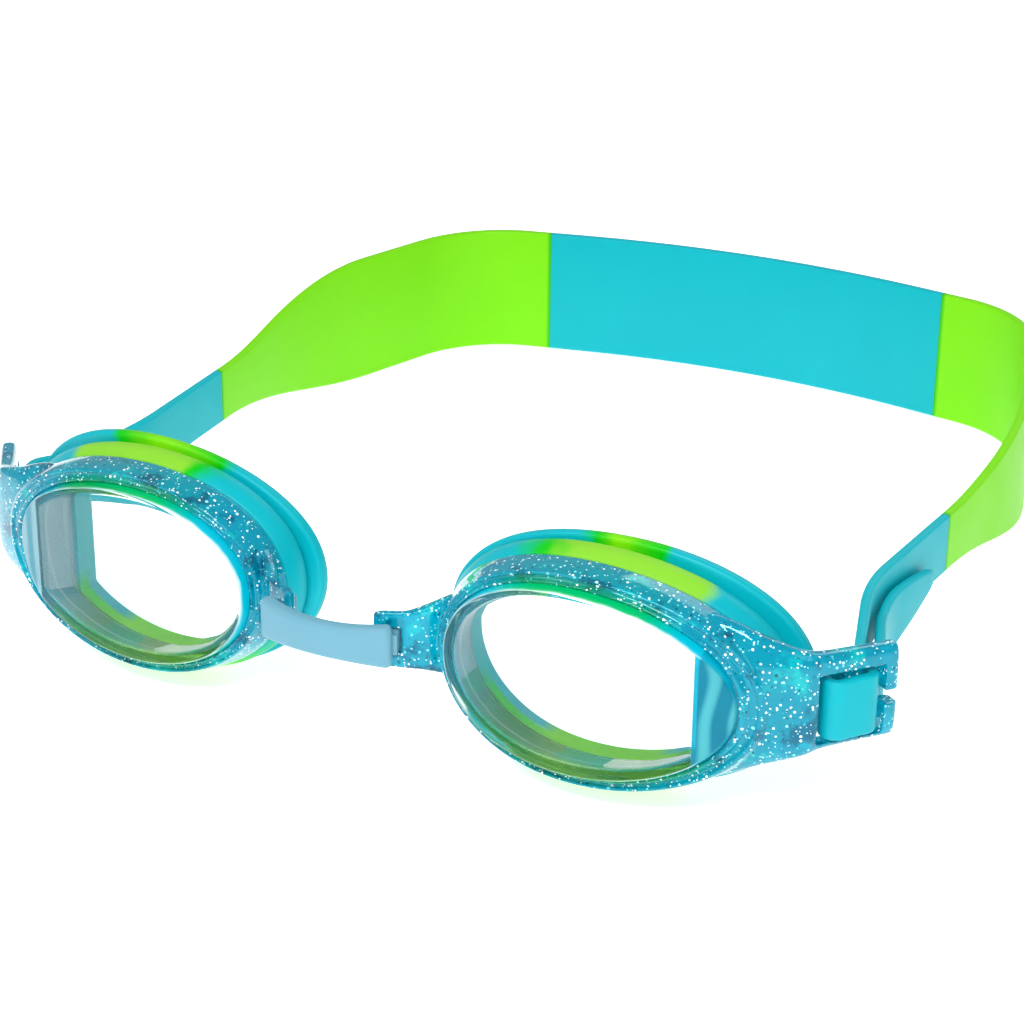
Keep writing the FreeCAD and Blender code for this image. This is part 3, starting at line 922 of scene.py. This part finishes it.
def soft_skin_and_painted_glow(nodes, links, shader):
    """Satin skin of moulded silicone, with its fine matt grain, some light scattered inside it, and a faint
    painted glow in its own colour.
    """
    # Painted glow: emission in the base colour, so the silicone gives off light of its own.
    links.new(shader.inputs["Base Color"].links[0].from_socket, shader.inputs["Emission Color"])
    shader.inputs["Emission Strength"].default_value = 0.10
    grain = texture(nodes, links, "ShaderNodeTexNoise", 2500.0, Detail=2.0)
    bump(nodes, links, shader, grain.outputs["Fac"], 0.1, 0.0001)
    shader.inputs["IOR"].default_value = 1.41
    shader.inputs["Specular IOR Level"].default_value = 0.28
    shader.inputs["Subsurface Weight"].default_value = 0.25
    shader.inputs["Subsurface Radius"].default_value = (0.5, 1.0, 0.8)
    shader.inputs["Subsurface Scale"].default_value = 0.001


def flake_layer(nodes, links, scale, least, reach):
    """Sparse round flakes, and a random number for each."""
    flakes = texture(nodes, links, "ShaderNodeTexVoronoi", scale)
    apart = nodes.new("ShaderNodeSeparateColor")
    links.new(flakes.outputs["Color"], apart.inputs["Color"])
    size = map_range(nodes, links, apart.outputs["Red"], least, 1.0, 0.0, reach)
    return maths(nodes, links, "LESS_THAN", flakes.outputs["Distance"], size), apart.outputs["Green"]


def glitter_material():
    """Tinted clear plastic with silver flakes in it. Near the lens it is painted greener where the lime seal
    would show through, and the whole frame glows faintly with painted light.
    """
    made, nodes, links, shader = material("frame_glitter")
    cloud = texture(nodes, links, "ShaderNodeTexNoise", 170.0, Detail=4.0, Roughness=0.65)
    tint = ramp(nodes, links, cloud.outputs["Fac"], [
        (0.36, FRAME_DEEP), (0.47, FRAME_TEAL), (0.56, FRAME_TEAL), (0.68, FRAME_BRIGHT),
    ])
    turn = turn_round_cup(nodes, links)
    # Painted see-through: by the lens, at the top and the bottom of the cup, the frame is painted greener
    # where the lime seal lies behind it.
    painted_seal_show_through = ramp(nodes, links, turn, [
        (0.10, BLACK), (0.20, WHITE), (0.36, WHITE), (0.44, BLACK),
        (0.64, BLACK), (0.68, WHITE), (0.80, WHITE), (0.88, BLACK),
    ])
    near_lens = map_range(nodes, links, attribute(nodes, "rim"), 1.03, 1.10, 0.85, 0.0)
    painted_seal_green = maths(nodes, links, "MULTIPLY", painted_seal_show_through, near_lens)
    tint = blend_colours(nodes, links, painted_seal_green, tint, PAINTED_SEE_THROUGH_GREEN)
    fine, fine_kind = flake_layer(nodes, links, 2500.0, 0.40, 0.52)
    coarse, coarse_kind = flake_layer(nodes, links, 1250.0, 0.76, 0.36)
    silver = [
        (0.0, (0.0, 0.07, 0.10)), (0.35, (0.0, 0.26, 0.32)), (0.6, (0.2, 0.72, 0.76)), (0.85, WHITE),
    ]
    colour = blend_colours(nodes, links, fine, tint, ramp(nodes, links, fine_kind, silver))
    colour = blend_colours(nodes, links, coarse, colour, ramp(nodes, links, coarse_kind, silver))
    links.new(colour, shader.inputs["Base Color"])
    # Painted glow: the frame gives off a little light in its own colours, flakes too.
    links.new(colour, shader.inputs["Emission Color"])
    shader.inputs["Emission Strength"].default_value = 0.06
    speck = maths(nodes, links, "MAXIMUM", fine, coarse)
    links.new(map_range(nodes, links, speck, 0.0, 1.0, 0.5, 0.0), shader.inputs["Transmission Weight"])
    links.new(map_range(nodes, links, speck, 0.0, 1.0, 0.05, 0.25), shader.inputs["Roughness"])
    waves = texture(nodes, links, "ShaderNodeTexNoise", 260.0, Detail=2.0)
    bump(nodes, links, shader, waves.outputs["Fac"], 0.3, 0.0002)
    shader.inputs["IOR"].default_value = 1.46
    shader.inputs["Specular Tint"].default_value = (0.0, 0.60, 0.70, 1.0)
    shader.inputs["Coat Weight"].default_value = 0.6
    shader.inputs["Coat Roughness"].default_value = 0.03
    return made


def lens_material(name, painted_streak_low, painted_streak_high):
    """Clear polycarbonate. Its bonded side is painted in the frame's and the seal's colours as if seen
    through it, with rings of painted highlight, and its solid temple with streaks of painted refraction; both
    glow faintly with painted light.
    """
    made, nodes, links, shader = material(name)
    turn = turn_round_cup(nodes, links)
    # Painted see-through: the side wall is painted with the frame's teal and the seal's lime colours round
    # the cup, as if seen through the clear wall.
    around = ramp(nodes, links, turn, [
        (0.05, FRAME_TEAL), (0.16, PAINTED_SEE_THROUGH_GREEN), (0.22, PAINTED_SEE_THROUGH_LIME),
        (0.30, PAINTED_SEE_THROUGH_GREEN), (0.40, FRAME_TEAL),
        (0.62, FRAME_TEAL), (0.69, PAINTED_SEE_THROUGH_GREEN), (0.80, PAINTED_SEE_THROUGH_GREEN), (0.88, FRAME_TEAL),
    ])
    side = map_range(nodes, links, attribute(nodes, "rim"), 0.984, 0.992, 0.0, 1.0)
    # Painted highlight: light rings at a few depths of the side wall, broken up by noise.
    steps = texture(nodes, links, "ShaderNodeTexNoise", 300.0, Detail=1.0)
    layer = maths(nodes, links, "MULTIPLY_ADD", steps.outputs["Fac"], 0.6, attribute(nodes, "depth"))
    band = ramp(nodes, links, maths(nodes, links, "MULTIPLY", layer, 0.1), [
        (0.03, (0.75, 0.9, 0.9)), (0.07, BLACK), (0.20, BLACK), (0.24, (0.55, 0.7, 0.7)), (0.28, BLACK),
        (0.50, BLACK), (0.54, (0.5, 0.6, 0.6)), (0.60, BLACK),
    ])
    ring_highlight_share = nodes.new("ShaderNodeSeparateColor")
    links.new(band, ring_highlight_share.inputs["Color"])
    around = blend_colours(nodes, links, ring_highlight_share.outputs["Red"], around, PAINTED_RING_HIGHLIGHT)
    # Painted refraction: the solid temple is painted with dark and light teal streaks, as of the frame seen
    # through it; each lens has its own shades.
    streaks = texture(nodes, links, "ShaderNodeTexWave", 70.0, Distortion=4.0, Detail=1.0)
    temple_painted_streaks = ramp(nodes, links, streaks.outputs["Fac"], [(0.35, painted_streak_low), (1.0, painted_streak_high)])
    across = attribute(nodes, "across")
    temple = map_range(nodes, links, across, CREASE - 0.03, CREASE + 0.03, 0.0, 1.0)
    clear = blend_colours(nodes, links, temple, CLEAR, temple_painted_streaks)
    colour = blend_colours(nodes, links, side, clear, around)
    links.new(colour, shader.inputs["Base Color"])
    solid = maths(nodes, links, "MAXIMUM", side, maths(nodes, links, "MULTIPLY", temple, 0.7))
    links.new(map_range(nodes, links, solid, 0.0, 1.0, 1.0, 0.25), shader.inputs["Transmission Weight"])
    # Painted glow: the side wall and the temple give off a little light in their own colours.
    links.new(colour, shader.inputs["Emission Color"])
    links.new(maths(nodes, links, "MULTIPLY", solid, 0.10), shader.inputs["Emission Strength"])
    haze = texture(nodes, links, "ShaderNodeTexNoise", 400.0, Detail=4.0)
    links.new(map_range(nodes, links, haze.outputs["Fac"], 0.4, 0.8, 0.0, 0.05), shader.inputs["Roughness"])
    waves = texture(nodes, links, "ShaderNodeTexNoise", 70.0, Detail=1.0)
    bump(nodes, links, shader, waves.outputs["Fac"], 0.05, 0.0002)
    shader.inputs["IOR"].default_value = 1.49
    shader.inputs["Specular Tint"].default_value = (0.35, 0.5, 0.5, 1.0)
    return made


# ---------------------------------------------------------------- stage

CAMERA_AZIMUTH = math.radians(28.8)
CAMERA_ELEVATION = math.radians(22.0)
CAMERA_ROLL = math.radians(0.5)
CAMERA_AWAY = 330.9        # from the nose bridge, along the view
CAMERA_RIGHT, CAMERA_UP = 25.7, 16.54
CAMERA_LENS = 83.25
CAMERA_SENSOR = 36.0

# Lamps: name, place and target in metres, width and height, power
LAMPS = (
    ("key", (-0.35, -0.30, 0.60), (0, 0, 0.02), (0.35, 0.35), 1.1),
    ("fill", (0.55, -0.35, 0.35), (0, 0, 0.02), (0.4, 0.3), 0.6),
    ("strip", (0.10, -0.36, 0.40), (0.03, -0.05, 0.02), (0.26, 0.07), 1.8),
    ("back", (0.1, 0.7, 0.5), (0, 0.03, 0.02), (0.6, 0.3), 1.0),
)
FLOOR_HALF = 3.0
FLOOR_GLOW = 0.62
SKY_STRENGTH = 0.42


def make_camera():
    """Camera placed in the upright frame, then leaned back with the pair."""
    azimuth, elevation, roll = CAMERA_AZIMUTH, CAMERA_ELEVATION, CAMERA_ROLL
    back = Vector((
        math.sin(azimuth) * math.cos(elevation),
        -math.cos(azimuth) * math.cos(elevation),
        math.sin(elevation),
    ))
    level = Vector((math.cos(azimuth), math.sin(azimuth), 0))
    upright = back.cross(level)
    right = math.cos(roll) * level + math.sin(roll) * upright
    up = -math.sin(roll) * level + math.cos(roll) * upright
    place = right * CAMERA_RIGHT + up * CAMERA_UP + back * CAMERA_AWAY
    lean = REST.to_3x3().normalized()
    facing = lean @ Matrix((right, up, back)).transposed()
    data = bpy.data.cameras.new("camera")
    data.sensor_width = CAMERA_SENSOR
    data.lens = CAMERA_LENS
    data.clip_start = 0.01
    camera = bpy.data.objects.new("camera", data)
    camera.matrix_world = Matrix.Translation(REST @ place) @ facing.to_4x4()
    bpy.context.scene.collection.objects.link(camera)
    bpy.context.scene.camera = camera


def area_light(name, place, target, size, power):
    data = bpy.data.lights.new(name, "AREA")
    data.shape = "RECTANGLE"
    data.size, data.size_y = size
    data.energy = power
    light = bpy.data.objects.new(name, data)
    light.location = place
    light.rotation_euler = (Vector(target) - Vector(place)).to_track_quat("-Z", "Y").to_euler()
    bpy.context.scene.collection.objects.link(light)


def make_floor():
    corners = [(x * FLOOR_HALF, y * FLOOR_HALF, 0) for x, y in ((-1, -1), (1, -1), (1, 1), (-1, 1))]
    floor = new_object("floor", corners, [(0, 1, 2, 3)])
    made, nodes, links, shader = material("floor_white")
    grain = texture(nodes, links, "ShaderNodeTexNoise", 6.0)
    white = blend_colours(nodes, links, grain.outputs["Fac"], (0.93, 0.93, 0.93), (0.95, 0.95, 0.95))
    links.new(white, shader.inputs["Base Color"])
    shader.inputs["Roughness"].default_value = 0.9
    shader.inputs["Specular IOR Level"].default_value = 0.1
    shader.inputs["Emission Color"].default_value = (1.0, 1.0, 1.0, 1.0)
    shader.inputs["Emission Strength"].default_value = FLOOR_GLOW
    floor.data.materials.append(made)


def make_sky():
    """Even white surround, a little dimmer towards the horizon."""
    world = bpy.data.worlds.new("world")
    bpy.context.scene.world = world
    world.use_nodes = True
    nodes, links = world.node_tree.nodes, world.node_tree.links
    direction = nodes.new("ShaderNodeTexCoord")
    height = nodes.new("ShaderNodeSeparateXYZ")
    links.new(direction.outputs["Generated"], height.inputs["Vector"])
    sky = ramp(nodes, links, height.outputs["Z"], [(0.0, (0.75, 0.75, 0.75)), (0.55, WHITE)])
    links.new(sky, nodes["Background"].inputs["Color"])
    nodes["Background"].inputs["Strength"].default_value = SKY_STRENGTH


def make_stage():
    """Pale floor, even surround and four soft lamps."""
    make_floor()
    make_sky()
    for lamp in LAMPS:
        area_light(*lamp)
    bpy.context.scene.view_settings.view_transform = "Standard"


def build():
    """Draws every piece and mirrors the sided ones; the left seal has its own colouring, and the left lens
    its own painted streaks of light and shade in its temple.
    """
    glitter = glitter_material()
    lens_right = lens_material("lens_clear", (0.0, 0.27, 0.42), (0.10, 0.60, 0.68))
    lens_left = lens_material("lens_clear_left", (0.28, 0.60, 0.68), (0.02, 0.34, 0.48))
    seal_right = seal_material("seal_teal_lime", (0.668, 0.780), (0.706, 0.785))
    seal_left = seal_material("seal_teal_lime_left", (0.668, 0.780), (0.700, 0.830))
    teal = silicone("strap_teal", TEAL, TEAL_DEEP)
    lime = silicone("strap_lime", LIME, (0.155, 0.58, 0.003), seam_colour=(0.03, 0.42, 0.005))
    bridge = silicone("bridge_grey_blue", GREY_BLUE, (0.12, 0.30, 0.40))
    back, side, end = strap_pieces()
    sided = [
        (make_seal(), "seal_look_left", "cup", "gasket", "seal_teal_lime", seal_right, seal_left),
        (make_frame(), "frame_look_left", "cup", "frame", "frame_glitter", glitter, glitter),
        (make_lens(), "lens_look_left", "cup", "lens", "lens_clear", lens_right, lens_left),
        (side, "strap_look_side_left", "strap", "strap_side", "strap_lime", lime, lime),
        (end, "strap_look_end_left", "strap", "strap_end", "strap_teal", teal, teal),
    ]
    for right, left_name, body, node, slot, right_look, left_look in sided:
        smooth(right)
        left = mirrored(right, left_name)
        smooth(left)
        finish_piece(right, body + "_right", node + "_right", right_look)
        finish_piece(left, body + "_left", node + "_left", left_look)
    finish_piece(smooth(back), "strap_back", "strap_back_panel", teal)
    finish_piece(smooth(make_bridge()), "bridge", "nose_bridge", bridge)


make_camera()
make_stage()
build()
